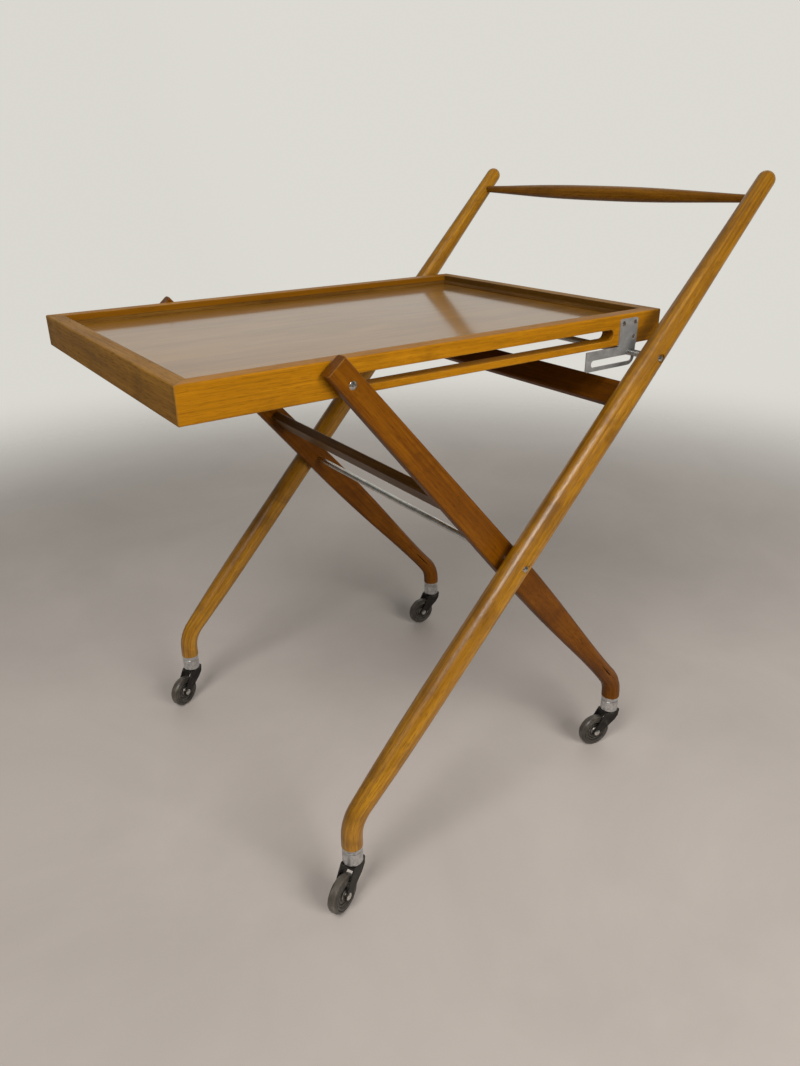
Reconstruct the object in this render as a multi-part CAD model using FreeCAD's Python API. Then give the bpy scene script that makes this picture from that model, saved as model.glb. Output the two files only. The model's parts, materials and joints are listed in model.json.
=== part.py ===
import FreeCAD, Part
import math
import os

# Folding serving trolley: a tray on two crossed pairs of legs, with casters.
# +X runs along the tray towards the handle, +Z is up, the floor is Z = 0.
# The pair of long poles carries the handle; the pair of flat legs turns on the crossing rod.

Vec = FreeCAD.Vector

# overall sizes
overallHeight = 800.0
trayLength = 628.0
trayWidth = 433.0
trayTopHeight = 645.0
trayFrontReach = 375.0
crossingHeight = 378.5
poleAngle = 47.5
legAngle = 49.7

# tray
railHeight = 37.0
railThickness = 18.0
railEdgeRound = 1.6
panelDepth = 12.0
panelThickness = 4.0
panelGrooveDepth = 5.0
panelGrooveGap = 0.3
panelFieldRise = 0.6
panelFieldGap = 0.1
beadSize = 5.5
slotDepth = 22.5
slotHeight = 13.0
slotEndGap = 1.0
slotRearMargin = 82.5

# poles and handle
poleRadius = 16.0
poleTopRadius = 11.0
footRadius = 13.0
footReachPole = 241.2
footReachLeg = 231.6
bendRadius = 55.0
handleDrop = 31.48
handleEndRadius = 4.9
handleMidRadius = 10.1
handleTenon = 16.0
boardBelowLatch = 58.0
boardWidth = 32.0
boardThickness = 11.0
boardEdgeRound = 2.0
tenonWidth = 18.0
tenonThickness = 6.0
tenonDepth = 8.0

# flat legs
legThickness = 14.5
legTopWidth = 26.5
legMidWidth = 37.0
legLowWidth = 32.5
legEdgeRound = 3.0
legTopBeyondPin = 26.0
legRoundStart = 190.0
legRoundLength = 55.0
legFlatBelowCrossing = 35.0
crossRailAlong = 99.0
crossRailWidth = 30.0
crossRailThickness = 12.0
crossRailEdgeRound = 1.5

# gaps between the layers, from the tray outwards
bracketThickness = 1.5
bracketToLegGap = 0.6
legToPoleGap = 2.4
washerGap = 0.15
washerRadius = 6.0
washerSeat = 1.3
footSideGap = 0.9
washerSeatGap = 0.2

# rods, pins and screws
rodRadius = 4.0
rodRunningGap = 0.05
latchDrop = 9.79
rodEndReach = 6.0
screwShankRadius = 2.0
screwLength = 16.0
screwHeadRadius = 4.2
screwHeadHeight = 2.2
latchSeatDepth = 3.0
screwSeatRadius = 5.5
crossSeatDepth = 1.2
slotPinRadius = 3.75
slotPinReach = 7.0
slotPinHeadRadius = 4.5
slotPinHeadHeight = 2.0
driverSlotWidth = 0.9
driverSlotDepth = 0.9

# hook bracket, measured from the latch rod
notchGap = 0.25
notchDrop = 6.5
armReach = 76.0
armDepth = 15.5
armTopRise = 8.6
bracketSlotReach = 63.0
plateFrontReach = 21.0
plateRearReach = 9.5
plateRise = 41.5
neckRearReach = 8.5
bracketCorner = 3.0
hookBend = 11.0
neckStep = 1.0
bracketScrewInset = 5.5
bracketScrewRearInset = 5.0
bracketScrewDrop = 23.0
bracketScrewHead = 3.2
bracketScrewRise = 1.3
bracketScrewDepth = 12.0
bracketScrewShank = 1.6

# ferrules and casters
ferruleRadius = 12.5
ferruleWall = 1.2
ferruleClearance = 9.0
ferruleHeight = 24.0
ferruleFloor = 1.5
ferruleEdgeRound = 1.0
stemRadius = 4.0
stemGap = 0.08
stemHeight = 26.0
stemHoleSpare = 2.0
stemCollar = 3.5
stemCollarGap = 0.35
casterTrail = 24.0
# how far each caster has swivelled from trailing straight towards the front
casterHeading = {"front_left": 24.0, "front_right": 25.0, "rear_left": -12.0, "rear_right": 0.0}
wheelRadius = 24.0
tyreWidth = 13.0
hubRadius = 15.0
hubWidth = 9.0
hubBossRadius = 6.5
hubBossWidth = 15.6
hubDish = 1.5
axleRadius = 3.0
axleGap = 0.06
axleHeadRadius = 4.6
axleHeadRise = 1.6
forkWidth = 20.0
forkSheet = 1.6
forkTopGap = 1.0
forkTopSheet = 2.2
forkTopFront = 13.5
forkTopRear = 13.0
forkEyeRadius = 6.5
forkShoulderDepth = 9.0
forkShoulderInset = 3.0
forkMouthInset = 2.0
forkWaistDepth = 16.0
forkWaistInset = 8.5
forkRearInset = 1.5
forkCornerRound = 3.0
tyreShoulder = 3.4
tyreEdge = 1.3
ringGroove = 3.2
ringGrooveWidth = 1.4
ringGrooveDepth = 1.0

# derived positions
poleTan = math.tan(math.radians(poleAngle))
poleTopCentre = overallHeight - poleTopRadius
poleTopReach = (poleTopCentre - crossingHeight) / poleTan + poleTopRadius
crossingX = (trayFrontReach - poleTopReach) / 2.0
trayFront = crossingX - trayFrontReach
trayRear = trayFront + trayLength
railOuter = trayWidth / 2.0
railInner = railOuter - railThickness
railBottom = trayTopHeight - railHeight
bracketOuter = railOuter + bracketThickness
legInner = bracketOuter + bracketToLegGap
legOuter = legInner + legThickness
poleInner = legOuter + legToPoleGap
poleSide = poleInner + poleRadius
legSide = (legInner + legOuter) / 2.0
footSideLeg = poleSide - 2 * footRadius - footSideGap
wheelHeight = wheelRadius
ferruleBottom = 2 * wheelRadius + ferruleClearance
ferruleTop = ferruleBottom + ferruleHeight
poleDir = Vec(math.cos(math.radians(poleAngle)), 0, math.sin(math.radians(poleAngle)))
poleNormal = Vec(-poleDir.z, 0, poleDir.x)
legDir = Vec(-math.cos(math.radians(legAngle)), 0, math.sin(math.radians(legAngle)))
legNormal = Vec(legDir.z, 0, -legDir.x)
crossing = Vec(crossingX, 0, crossingHeight)
latchAlong = (railBottom - latchDrop - crossingHeight) / poleDir.z
latch = crossing + poleDir * latchAlong
boardAlong = latchAlong - boardBelowLatch
legPinAlong = (trayTopHeight - slotDepth - crossingHeight) / legDir.z
slotPin = crossing + legDir * legPinAlong

sides = {"left": -1, "right": 1}
parts = {}


def onPole(along, side, off=0.0):
    point = crossing + poleDir * along + poleNormal * off
    return Vec(point.x, side * poleSide, point.z)


def onLeg(along, y):
    point = crossing + legDir * along
    return Vec(point.x, y, point.z)


def block(x0, x1, y0, y1, z0, z1):
    low = Vec(min(x0, x1), min(y0, y1), min(z0, z1))
    return Part.makeBox(abs(x1 - x0), abs(y1 - y0), abs(z1 - z0), low)


def yRod(radius, x, z, y0, y1):
    return Part.makeCylinder(radius, abs(y1 - y0), Vec(x, min(y0, y1), z), Vec(0, 1, 0))


def turned(points, base, axis):
    # a solid of revolution from (distance along the axis, radius) pairs
    radial = axis.cross(Vec(0, 1, 0))
    if radial.Length < 0.5:
        radial = Vec(1, 0, 0)
    radial.normalize()
    edge = [base + axis * a + radial * r for a, r in points]
    curve = Part.BSplineCurve()
    curve.interpolate(edge)
    start = base + axis * points[0][0]
    end = base + axis * points[-1][0]
    first = Part.makeLine(start, edge[0])
    last = Part.makeLine(edge[-1], end)
    face = Part.Face(Part.Wire([first, curve.toShape(), last, Part.makeLine(end, start)]))
    return face.revolve(base, axis, 360)


def lathe(points, base, axis):
    # a solid of revolution with straight profile lines
    radial = axis.cross(Vec(0, 0, 1))
    if radial.Length < 0.5:
        radial = Vec(1, 0, 0)
    radial.normalize()
    edge = [base + axis * a + radial * r for a, r in points]
    face = Part.Face(Part.makePolygon(edge + [edge[0]]))
    return face.revolve(base, axis, 360)


def roundedSection(centre, across, acrossWidth, side, sideWidth, corner):
    # a closed outline with four rounded corners, centred on a point
    a = acrossWidth / 2.0
    b = sideWidth / 2.0
    bulge = corner * (1 - math.sqrt(0.5))
    edges = []
    quadrants = [(1, 1), (-1, 1), (-1, -1), (1, -1)]
    ends = []
    for i, (u, v) in enumerate(quadrants):
        first = centre + across * (u * a) + side * (v * (b - corner))
        second = centre + across * (u * (a - corner)) + side * (v * b)
        if i % 2:
            first, second = second, first
        middle = centre + across * (u * (a - bulge)) + side * (v * (b - bulge))
        ends.append((first, middle, second))
    for i, (first, middle, second) in enumerate(ends):
        edges.append(Part.Arc(first, middle, second).toShape())
        following = ends[(i + 1) % 4][0]
        edges.append(Part.makeLine(second, following))
    return Part.Wire(edges)


def bentFoot(section, startPoint, direction, footX, sideY):
    # spine from a point on the sloping limb, round the bend, down to the ferrule
    drop = (startPoint.x - footX) / direction.x
    corner = startPoint - direction * drop
    turn = math.acos(direction.z)
    tangent = bendRadius * math.tan(turn / 2.0)
    bendStart = corner + direction * tangent
    bendEnd = corner - Vec(0, 0, tangent)
    inward = Vec(1, 0, 0) if direction.x > 0 else Vec(-1, 0, 0)
    centre = bendEnd + inward * bendRadius
    toCorner = corner - centre
    toCorner.normalize()
    middle = centre + toCorner * bendRadius
    arc = Part.Arc(bendStart, middle, bendEnd).toShape()
    drop = Part.makeLine(bendEnd, Vec(footX, sideY, ferruleTop))
    spine = Part.Wire([arc, drop])
    shell = Part.BRepOffsetAPI.MakePipeShell(spine)
    shell.add(section(bendStart))
    shell.build()
    shell.makeSolid()
    return shell.shape(), bendStart


def screwHead(x, z, y, side, radius, height):
    # domed head with a driver slot, standing on a face at y
    sphere = (radius * radius + height * height) / (2.0 * height)
    ball = Part.makeSphere(sphere, Vec(x, y + side * (height - sphere), z))
    disc = yRod(radius, x, z, y, y + side * height)
    head = ball.common(disc)
    slot = block(x - radius, x + radius, y + side * (height - driverSlotDepth), y + side * (height + 1),
                 z - driverSlotWidth / 2.0, z + driverSlotWidth / 2.0)
    slot.rotate(Vec(x, y, z), Vec(0, 1, 0), 35)
    return head.cut(slot)


# ---- tray ----
print("tray")


def mitredRail(x0, x1, y0, y1, alongX):
    # one straight rail of the tray frame with mitred ends
    rail = block(x0, x1, y0, y1, railBottom, trayTopHeight)
    groove = block(trayFront + railThickness - panelGrooveDepth, trayRear - railThickness + panelGrooveDepth,
                   -railInner - panelGrooveDepth, railInner + panelGrooveDepth,
                   trayTopHeight - panelDepth - panelThickness, trayTopHeight - panelDepth - panelFieldRise)
    rail = rail.cut(groove)
    mid = (trayFront + trayRear) / 2.0
    if alongX:
        outline = [Vec(trayFront, y0 if y0 < 0 else y1, 0), Vec(trayRear, y0 if y0 < 0 else y1, 0)]
        inner = y1 if y0 < 0 else y0
        outline += [Vec(trayRear - railThickness, inner, 0), Vec(trayFront + railThickness, inner, 0)]
    else:
        outerX = x0 if x0 < mid else x1
        innerX = x1 if x0 < mid else x0
        outline = [Vec(outerX, -railOuter, 0), Vec(outerX, railOuter, 0)]
        outline += [Vec(innerX, railInner, 0), Vec(innerX, -railInner, 0)]
    wedge = Part.Face(Part.makePolygon(outline + [outline[0]])).extrude(Vec(0, 0, overallHeight))
    return rail.common(wedge)


trayBlank = block(trayFront, trayRear, -railOuter, railOuter, railBottom, trayTopHeight)
trayBlank = trayBlank.makeFillet(railEdgeRound, trayBlank.Edges)
slotHalf = slotHeight / 2.0
slotLevel = trayTopHeight - slotDepth
slotFrontCentre = slotPin.x - slotPinRadius - slotEndGap + slotHalf
slotRearCentre = trayRear - slotRearMargin - slotHalf
for name, sign in sides.items():
    inner = sign * railInner
    rail = mitredRail(trayFront, trayRear, min(inner, sign * railOuter), max(inner, sign * railOuter), True)
    rail = rail.common(trayBlank)
    low = sign * (railInner - 1)
    high = sign * (railOuter + 1)
    slotCut = block(slotFrontCentre, slotRearCentre, low, high, slotLevel - slotHalf, slotLevel + slotHalf)
    for x in (slotFrontCentre, slotRearCentre):
        slotCut = slotCut.fuse(yRod(slotHalf, x, slotLevel, low, high))
    parts["tray_rail_" + name] = rail.cut(slotCut)
ends = {"front": (trayFront, trayFront + railThickness), "rear": (trayRear - railThickness, trayRear)}
for name, (x0, x1) in ends.items():
    rail = mitredRail(x0, x1, -railOuter, railOuter, False)
    parts["tray_rail_" + name] = rail.common(trayBlank)

panelTop = trayTopHeight - panelDepth
grooveFit = panelGrooveDepth - panelGrooveGap
panelBoard = block(
    trayFront + railThickness - grooveFit, trayRear - railThickness + grooveFit,
    -railInner - grooveFit, railInner + grooveFit,
    panelTop - panelThickness, panelTop - panelFieldRise)
fieldInset = beadSize + panelFieldGap
panelField = block(
    trayFront + railThickness + fieldInset, trayRear - railThickness - fieldInset,
    -railInner + fieldInset, railInner - fieldInset,
    panelTop - panelThickness, panelTop)
parts["tray_panel"] = panelBoard.fuse(panelField).removeSplitter()

beadX0 = trayFront + railThickness
beadX1 = trayRear - railThickness


def bead(corner, inward, along, length):
    # quarter-round strip in the corner between panel and rail, with mitred ends
    up = Vec(0, 0, 1)
    a = corner
    b = corner + inward * beadSize
    c = corner + up * beadSize
    bulge = corner + (inward + up) * (beadSize * math.sqrt(0.5))
    outline = Part.Wire([Part.makeLine(a, b), Part.Arc(b, bulge, c).toShape(), Part.makeLine(c, a)])
    strip = Part.Face(outline).extrude(along * length)
    tip = along * beadSize
    far = a + along * length
    mitre = [a, far, far - tip + inward * beadSize, a + tip + inward * beadSize]
    keep = Part.Face(Part.makePolygon(mitre + [mitre[0]])).extrude(up * beadSize)
    return strip.common(keep)


beadLengthX = beadX1 - beadX0
beadBase = panelTop - panelFieldRise
parts["bead_left"] = bead(Vec(beadX0, -railInner, beadBase), Vec(0, 1, 0), Vec(1, 0, 0), beadLengthX)
parts["bead_right"] = bead(Vec(beadX0, railInner, beadBase), Vec(0, -1, 0), Vec(1, 0, 0), beadLengthX)
parts["bead_front"] = bead(Vec(beadX0, -railInner, beadBase), Vec(1, 0, 0), Vec(0, 1, 0), 2 * railInner)
parts["bead_rear"] = bead(Vec(beadX1, -railInner, beadBase), Vec(-1, 0, 0), Vec(0, 1, 0), 2 * railInner)

# ---- hook brackets ----
print("hook brackets")
notchRadius = rodRadius + notchGap
armTop = latch.z + armTopRise
armBottom = latch.z - armDepth
slotFloorLevel = latch.z - notchDrop
plateTop = latch.z + plateRise
screwSpots = [
    (latch.x - plateFrontReach + bracketScrewInset, plateTop - bracketScrewInset),
    (latch.x + plateRearReach - bracketScrewRearInset, plateTop - bracketScrewInset),
    (latch.x + plateRearReach - bracketScrewRearInset, plateTop - bracketScrewDrop),
]


def bracketOutline(y):
    # flat pattern of the bracket, from the plate's top corner round the hook
    left = latch.x - plateFrontReach
    right = latch.x + plateRearReach
    neck = latch.x + neckRearReach
    c = bracketCorner
    k = 1 - math.sqrt(0.5)
    p = [
        Part.makeLine(Vec(left + c, y, plateTop), Vec(right - c, y, plateTop)),
        Part.Arc(Vec(right - c, y, plateTop),
                 Vec(right - c * k, y, plateTop - c * k),
                 Vec(right, y, plateTop - c)).toShape(),
        Part.makeLine(Vec(right, y, plateTop - c), Vec(right, y, railBottom)),
        Part.makeLine(Vec(right, y, railBottom), Vec(neck, y, railBottom - neckStep)),
        Part.makeLine(Vec(neck, y, railBottom - neckStep), Vec(neck, y, armBottom + hookBend)),
        Part.Arc(Vec(neck, y, armBottom + hookBend),
                 Vec(neck - hookBend * k, y, armBottom + hookBend * k),
                 Vec(neck - hookBend, y, armBottom)).toShape(),
        Part.makeLine(Vec(neck - hookBend, y, armBottom), Vec(latch.x - armReach + c, y, armBottom)),
        Part.Arc(Vec(latch.x - armReach + c, y, armBottom),
                 Vec(latch.x - armReach + c * k, y, armBottom + c * k),
                 Vec(latch.x - armReach, y, armBottom + c)).toShape(),
        Part.makeLine(Vec(latch.x - armReach, y, armBottom + c), Vec(latch.x - armReach, y, armTop)),
        Part.makeLine(Vec(latch.x - armReach, y, armTop), Vec(left, y, armTop)),
        Part.makeLine(Vec(left, y, armTop), Vec(left, y, plateTop - c)),
        Part.Arc(Vec(left, y, plateTop - c),
                 Vec(left + c * k, y, plateTop - c * k),
                 Vec(left + c, y, plateTop)).toShape(),
    ]
    return Part.Wire(p)


bracketScrewSolids = []
for name, sign in sides.items():
    y0 = sign * railOuter
    y1 = sign * bracketOuter
    sheet = Part.Face(bracketOutline(y0)).extrude(Vec(0, y1 - y0, 0))
    low = y0 - sign
    high = y1 + sign
    slotLeft = latch.x - bracketSlotReach
    cut = block(slotLeft, latch.x, low, high, slotFloorLevel - notchRadius, slotFloorLevel + notchRadius)
    cut = cut.fuse(yRod(notchRadius, slotLeft, slotFloorLevel, low, high))
    cut = cut.fuse(yRod(notchRadius, latch.x, slotFloorLevel, low, high))
    cut = cut.fuse(yRod(notchRadius, latch.x, latch.z, low, high))
    cut = cut.fuse(block(latch.x - notchRadius, latch.x + notchRadius, low, high, slotFloorLevel, latch.z))
    sheet = sheet.cut(cut)
    rail = parts["tray_rail_" + name]
    for x, z in screwSpots:
        shank = yRod(bracketScrewShank, x, z, y1, sign * (railOuter - bracketScrewDepth))
        head = screwHead(x, z, y1, sign, bracketScrewHead, bracketScrewRise)
        bracketScrewSolids.append(head.fuse(shank))
        sheet = sheet.cut(shank)
        rail = rail.cut(shank)
    parts["tray_rail_" + name] = rail
    parts["hook_bracket_" + name] = sheet
parts["bracket_screws"] = Part.makeCompound(bracketScrewSolids)

# ---- poles ----
print("poles")
poleTopAlong = (poleTopCentre - crossingHeight) / poleDir.z
handleAlong = (overallHeight - handleDrop - crossingHeight) / poleDir.z
handleHub = crossing + poleDir * handleAlong
handleReach = poleSide - poleRadius + handleTenon


def poleSection(point):
    circle = Part.makeCircle(footRadius, point, poleDir)
    return Part.Wire(circle)


latchScrewSolids = []
crossScrewSolids = []
washerSolids = []
boardTenon = block(-tenonWidth / 2.0, tenonWidth / 2.0, -poleInner - tenonDepth, poleInner + tenonDepth,
                   -tenonThickness / 2.0, tenonThickness / 2.0)
boardBody = block(-boardWidth / 2.0, boardWidth / 2.0, -poleSide, poleSide,
                  -boardThickness / 2.0, boardThickness / 2.0)
boardEdges = [e for e in boardBody.Edges if abs(e.Vertexes[0].Y - e.Vertexes[1].Y) > 1]
boardBody = boardBody.makeFillet(boardEdgeRound, boardEdges)
boardCentre = crossing + poleDir * boardAlong
for solid in (boardTenon, boardBody):
    solid.rotate(Vec(0, 0, 0), Vec(0, 1, 0), -poleAngle)
    solid.translate(boardCentre)
for name, sign in sides.items():
    footX = crossingX - footReachPole
    bend, bendStart = bentFoot(poleSection, onPole(0, sign), poleDir, footX, sign * poleSide)
    startAlong = (bendStart - onPole(0, sign)).dot(poleDir)
    profile = [
        (startAlong, footRadius),
        (startAlong * 0.72, footRadius + (poleRadius - footRadius) * 0.8),
        (startAlong * 0.35, poleRadius),
        (0, poleRadius),
        (poleTopAlong * 0.3, poleRadius),
        (poleTopAlong * 0.6, poleTopRadius + (poleRadius - poleTopRadius) * 0.68),
        (poleTopAlong * 0.85, poleTopRadius + (poleRadius - poleTopRadius) * 0.22),
        (poleTopAlong, poleTopRadius),
    ]
    shaft = turned(profile, onPole(0, sign), poleDir)
    cap = Part.makeSphere(poleTopRadius, onPole(poleTopAlong, sign))
    tenon = Part.makeCylinder(ferruleRadius - ferruleWall, ferruleTop - ferruleBottom - ferruleFloor,
                              Vec(footX, sign * poleSide, ferruleBottom + ferruleFloor))
    pole = shaft.fuse([cap, bend, tenon])
    if name == "left":
        parts["cross_board"] = boardBody
    parts["cross_board"] = parts["cross_board"].cut(pole)
    footBase = Vec(footX, sign * poleSide, ferruleBottom)
    stemHole = Part.makeCylinder(stemRadius + stemGap, stemHeight + stemHoleSpare, footBase)
    outside = sign * (poleSide + poleRadius + 2)
    cuts = [stemHole, boardTenon]
    cuts.append(yRod(handleEndRadius, handleHub.x, handleHub.z, 0, sign * handleReach))
    rodEndY = sign * (poleSide + rodEndReach)
    for spot, seatDepth in ((latch, latchSeatDepth), (crossing, crossSeatDepth)):
        seatY = sign * (poleSide + poleRadius - seatDepth)
        cuts.append(yRod(rodRadius, spot.x, spot.z, 0, rodEndY))
        cuts.append(yRod(screwSeatRadius, spot.x, spot.z, seatY, outside))
        cuts.append(yRod(screwShankRadius, spot.x, spot.z, rodEndY, seatY))
        shank = yRod(screwShankRadius, spot.x, spot.z, seatY, seatY - sign * screwLength)
        head = screwHead(spot.x, spot.z, seatY, sign, screwHeadRadius, screwHeadHeight)
        target = latchScrewSolids if spot is latch else crossScrewSolids
        target.append(head.fuse(shank))
    washerSeatY = sign * (poleInner + washerSeat)
    cuts.append(yRod(washerRadius + washerSeatGap, crossing.x, crossing.z, 0, washerSeatY))
    for tool in cuts:
        pole = pole.cut(tool)
    parts["pole_" + name] = pole
    washer = yRod(washerRadius, crossing.x, crossing.z, sign * (legOuter + washerGap), washerSeatY)
    washer = washer.cut(yRod(rodRadius, crossing.x, crossing.z, 0, sign * poleSide))
    washerSolids.append(washer)
parts["cross_board"] = parts["cross_board"].fuse(boardTenon)
for solid in parts["cross_board"].Solids:
    if solid.CenterOfMass.sub(boardCentre).Length < 20:
        parts["cross_board"] = solid
parts["latch_rod_screws"] = Part.makeCompound(latchScrewSolids)
parts["crossing_screws"] = Part.makeCompound(crossScrewSolids)
parts["spacer_washers"] = Part.makeCompound(washerSolids)

# ---- handle bar ----
print("handle bar")
spindle = [
    (-poleInner, handleEndRadius),
    (-poleInner * 0.75, handleMidRadius * 0.68),
    (-poleInner * 0.45, handleMidRadius * 0.9),
    (0, handleMidRadius),
    (poleInner * 0.45, handleMidRadius * 0.9),
    (poleInner * 0.75, handleMidRadius * 0.68),
    (poleInner, handleEndRadius),
]
bar = turned(spindle, handleHub, Vec(0, 1, 0))
bar = bar.fuse(yRod(handleEndRadius, handleHub.x, handleHub.z, -handleReach, handleReach))
parts["handle_bar"] = bar.removeSplitter()

# ---- rods ----
print("rods")
rods = {"latch_rod": (latch, latchSeatDepth), "crossing_rod": (crossing, crossSeatDepth)}
for name, (spot, seatDepth) in rods.items():
    rod = yRod(rodRadius, spot.x, spot.z, -poleSide - rodEndReach, poleSide + rodEndReach)
    for sign in (-1, 1):
        seatY = sign * (poleSide + poleRadius - seatDepth)
        rod = rod.cut(yRod(screwShankRadius, spot.x, spot.z, seatY, seatY - sign * screwLength))
    parts[name] = rod

# ---- flat legs ----
print("flat legs")
footSectionWidth = 2 * footRadius
footCorner = footRadius - 0.1
pinSolids = []
crossRailCentre = crossing + legDir * crossRailAlong
railTenon = block(-tenonWidth / 2.0, tenonWidth / 2.0, -legInner - tenonDepth, legInner + tenonDepth,
                  -tenonThickness / 2.0, tenonThickness / 2.0)
railBody = block(-crossRailWidth / 2.0, crossRailWidth / 2.0, -legInner, legInner,
                 -crossRailThickness / 2.0, crossRailThickness / 2.0)
railEdges = [e for e in railBody.Edges if abs(e.Vertexes[0].Y - e.Vertexes[1].Y) > 1]
railBody = railBody.makeFillet(crossRailEdgeRound, railEdges)
crossRail = railBody.fuse(railTenon)
for solid in (crossRail, railTenon):
    solid.rotate(Vec(0, 0, 0), Vec(0, 1, 0), legAngle)
    solid.translate(crossRailCentre)
parts["leg_cross_rail"] = crossRail


def legOutline(point, width, thickness, corner):
    return roundedSection(point, legNormal, width, Vec(0, 1, 0), thickness, corner)


for name, sign in sides.items():
    footY = sign * footSideLeg
    footX = crossingX + footReachLeg

    def legSection(point):
        return legOutline(point, footSectionWidth, footSectionWidth, footCorner)

    bend, bendStart = bentFoot(legSection, onLeg(0, footY), legDir, footX, footY)
    endAlong = (bendStart - onLeg(0, footY)).dot(legDir)
    topAlong = legPinAlong + legTopBeyondPin
    stations = [
        (topAlong, legSide, legTopWidth, legThickness, legEdgeRound),
        (-legFlatBelowCrossing, legSide, legMidWidth, legThickness, legEdgeRound),
    ]
    lower = [
        (-legFlatBelowCrossing, legSide, legMidWidth, legThickness, legEdgeRound),
        (-legRoundStart * 0.6, legSide - 0.5, legMidWidth - 0.5, legThickness + 1.0, legEdgeRound + 2.5),
        (-legRoundStart, legSide - 0.9, legLowWidth, legThickness + 1.8, legEdgeRound + 4.5),
        (-legRoundStart - legRoundLength, (legSide + footSideLeg) / 2.0,
         footSectionWidth + 2, footSectionWidth - 4, footCorner - 2.5),
        (endAlong, footSideLeg, footSectionWidth, footSectionWidth, footCorner),
    ]
    wires = []
    for along, sideY, width, thick, corner in stations:
        wires.append(legOutline(onLeg(along, sign * sideY), width, thick, corner))
    upper = Part.makeLoft(wires, True, True)
    wires = []
    for along, sideY, width, thick, corner in lower:
        wires.append(legOutline(onLeg(along, sign * sideY), width, thick, corner))
    lowerLimb = Part.makeLoft(wires, True, False)
    tenon = Part.makeCylinder(ferruleRadius - ferruleWall, ferruleTop - ferruleBottom - ferruleFloor,
                              Vec(footX, footY, ferruleBottom + ferruleFloor))
    leg = upper.fuse([lowerLimb, bend, tenon])
    footBase = Vec(footX, footY, ferruleBottom)
    leg = leg.cut(Part.makeCylinder(stemRadius + stemGap, stemHeight + stemHoleSpare, footBase))
    leg = leg.cut(railTenon)
    leg = leg.cut(yRod(rodRadius + rodRunningGap, crossing.x, crossing.z, 0, sign * poleSide))
    leg = leg.cut(yRod(slotPinRadius, slotPin.x, slotPin.z, 0, sign * poleSide))
    parts["leg_" + name] = leg
    shank = yRod(slotPinRadius, slotPin.x, slotPin.z, sign * legOuter, sign * (railOuter - slotPinReach))
    pinHead = screwHead(slotPin.x, slotPin.z, sign * legOuter, sign, slotPinHeadRadius, slotPinHeadHeight)
    parts["slot_pin_" + name] = shank.fuse(pinHead)

# ---- ferrules and casters ----
print("ferrules and casters")


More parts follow.
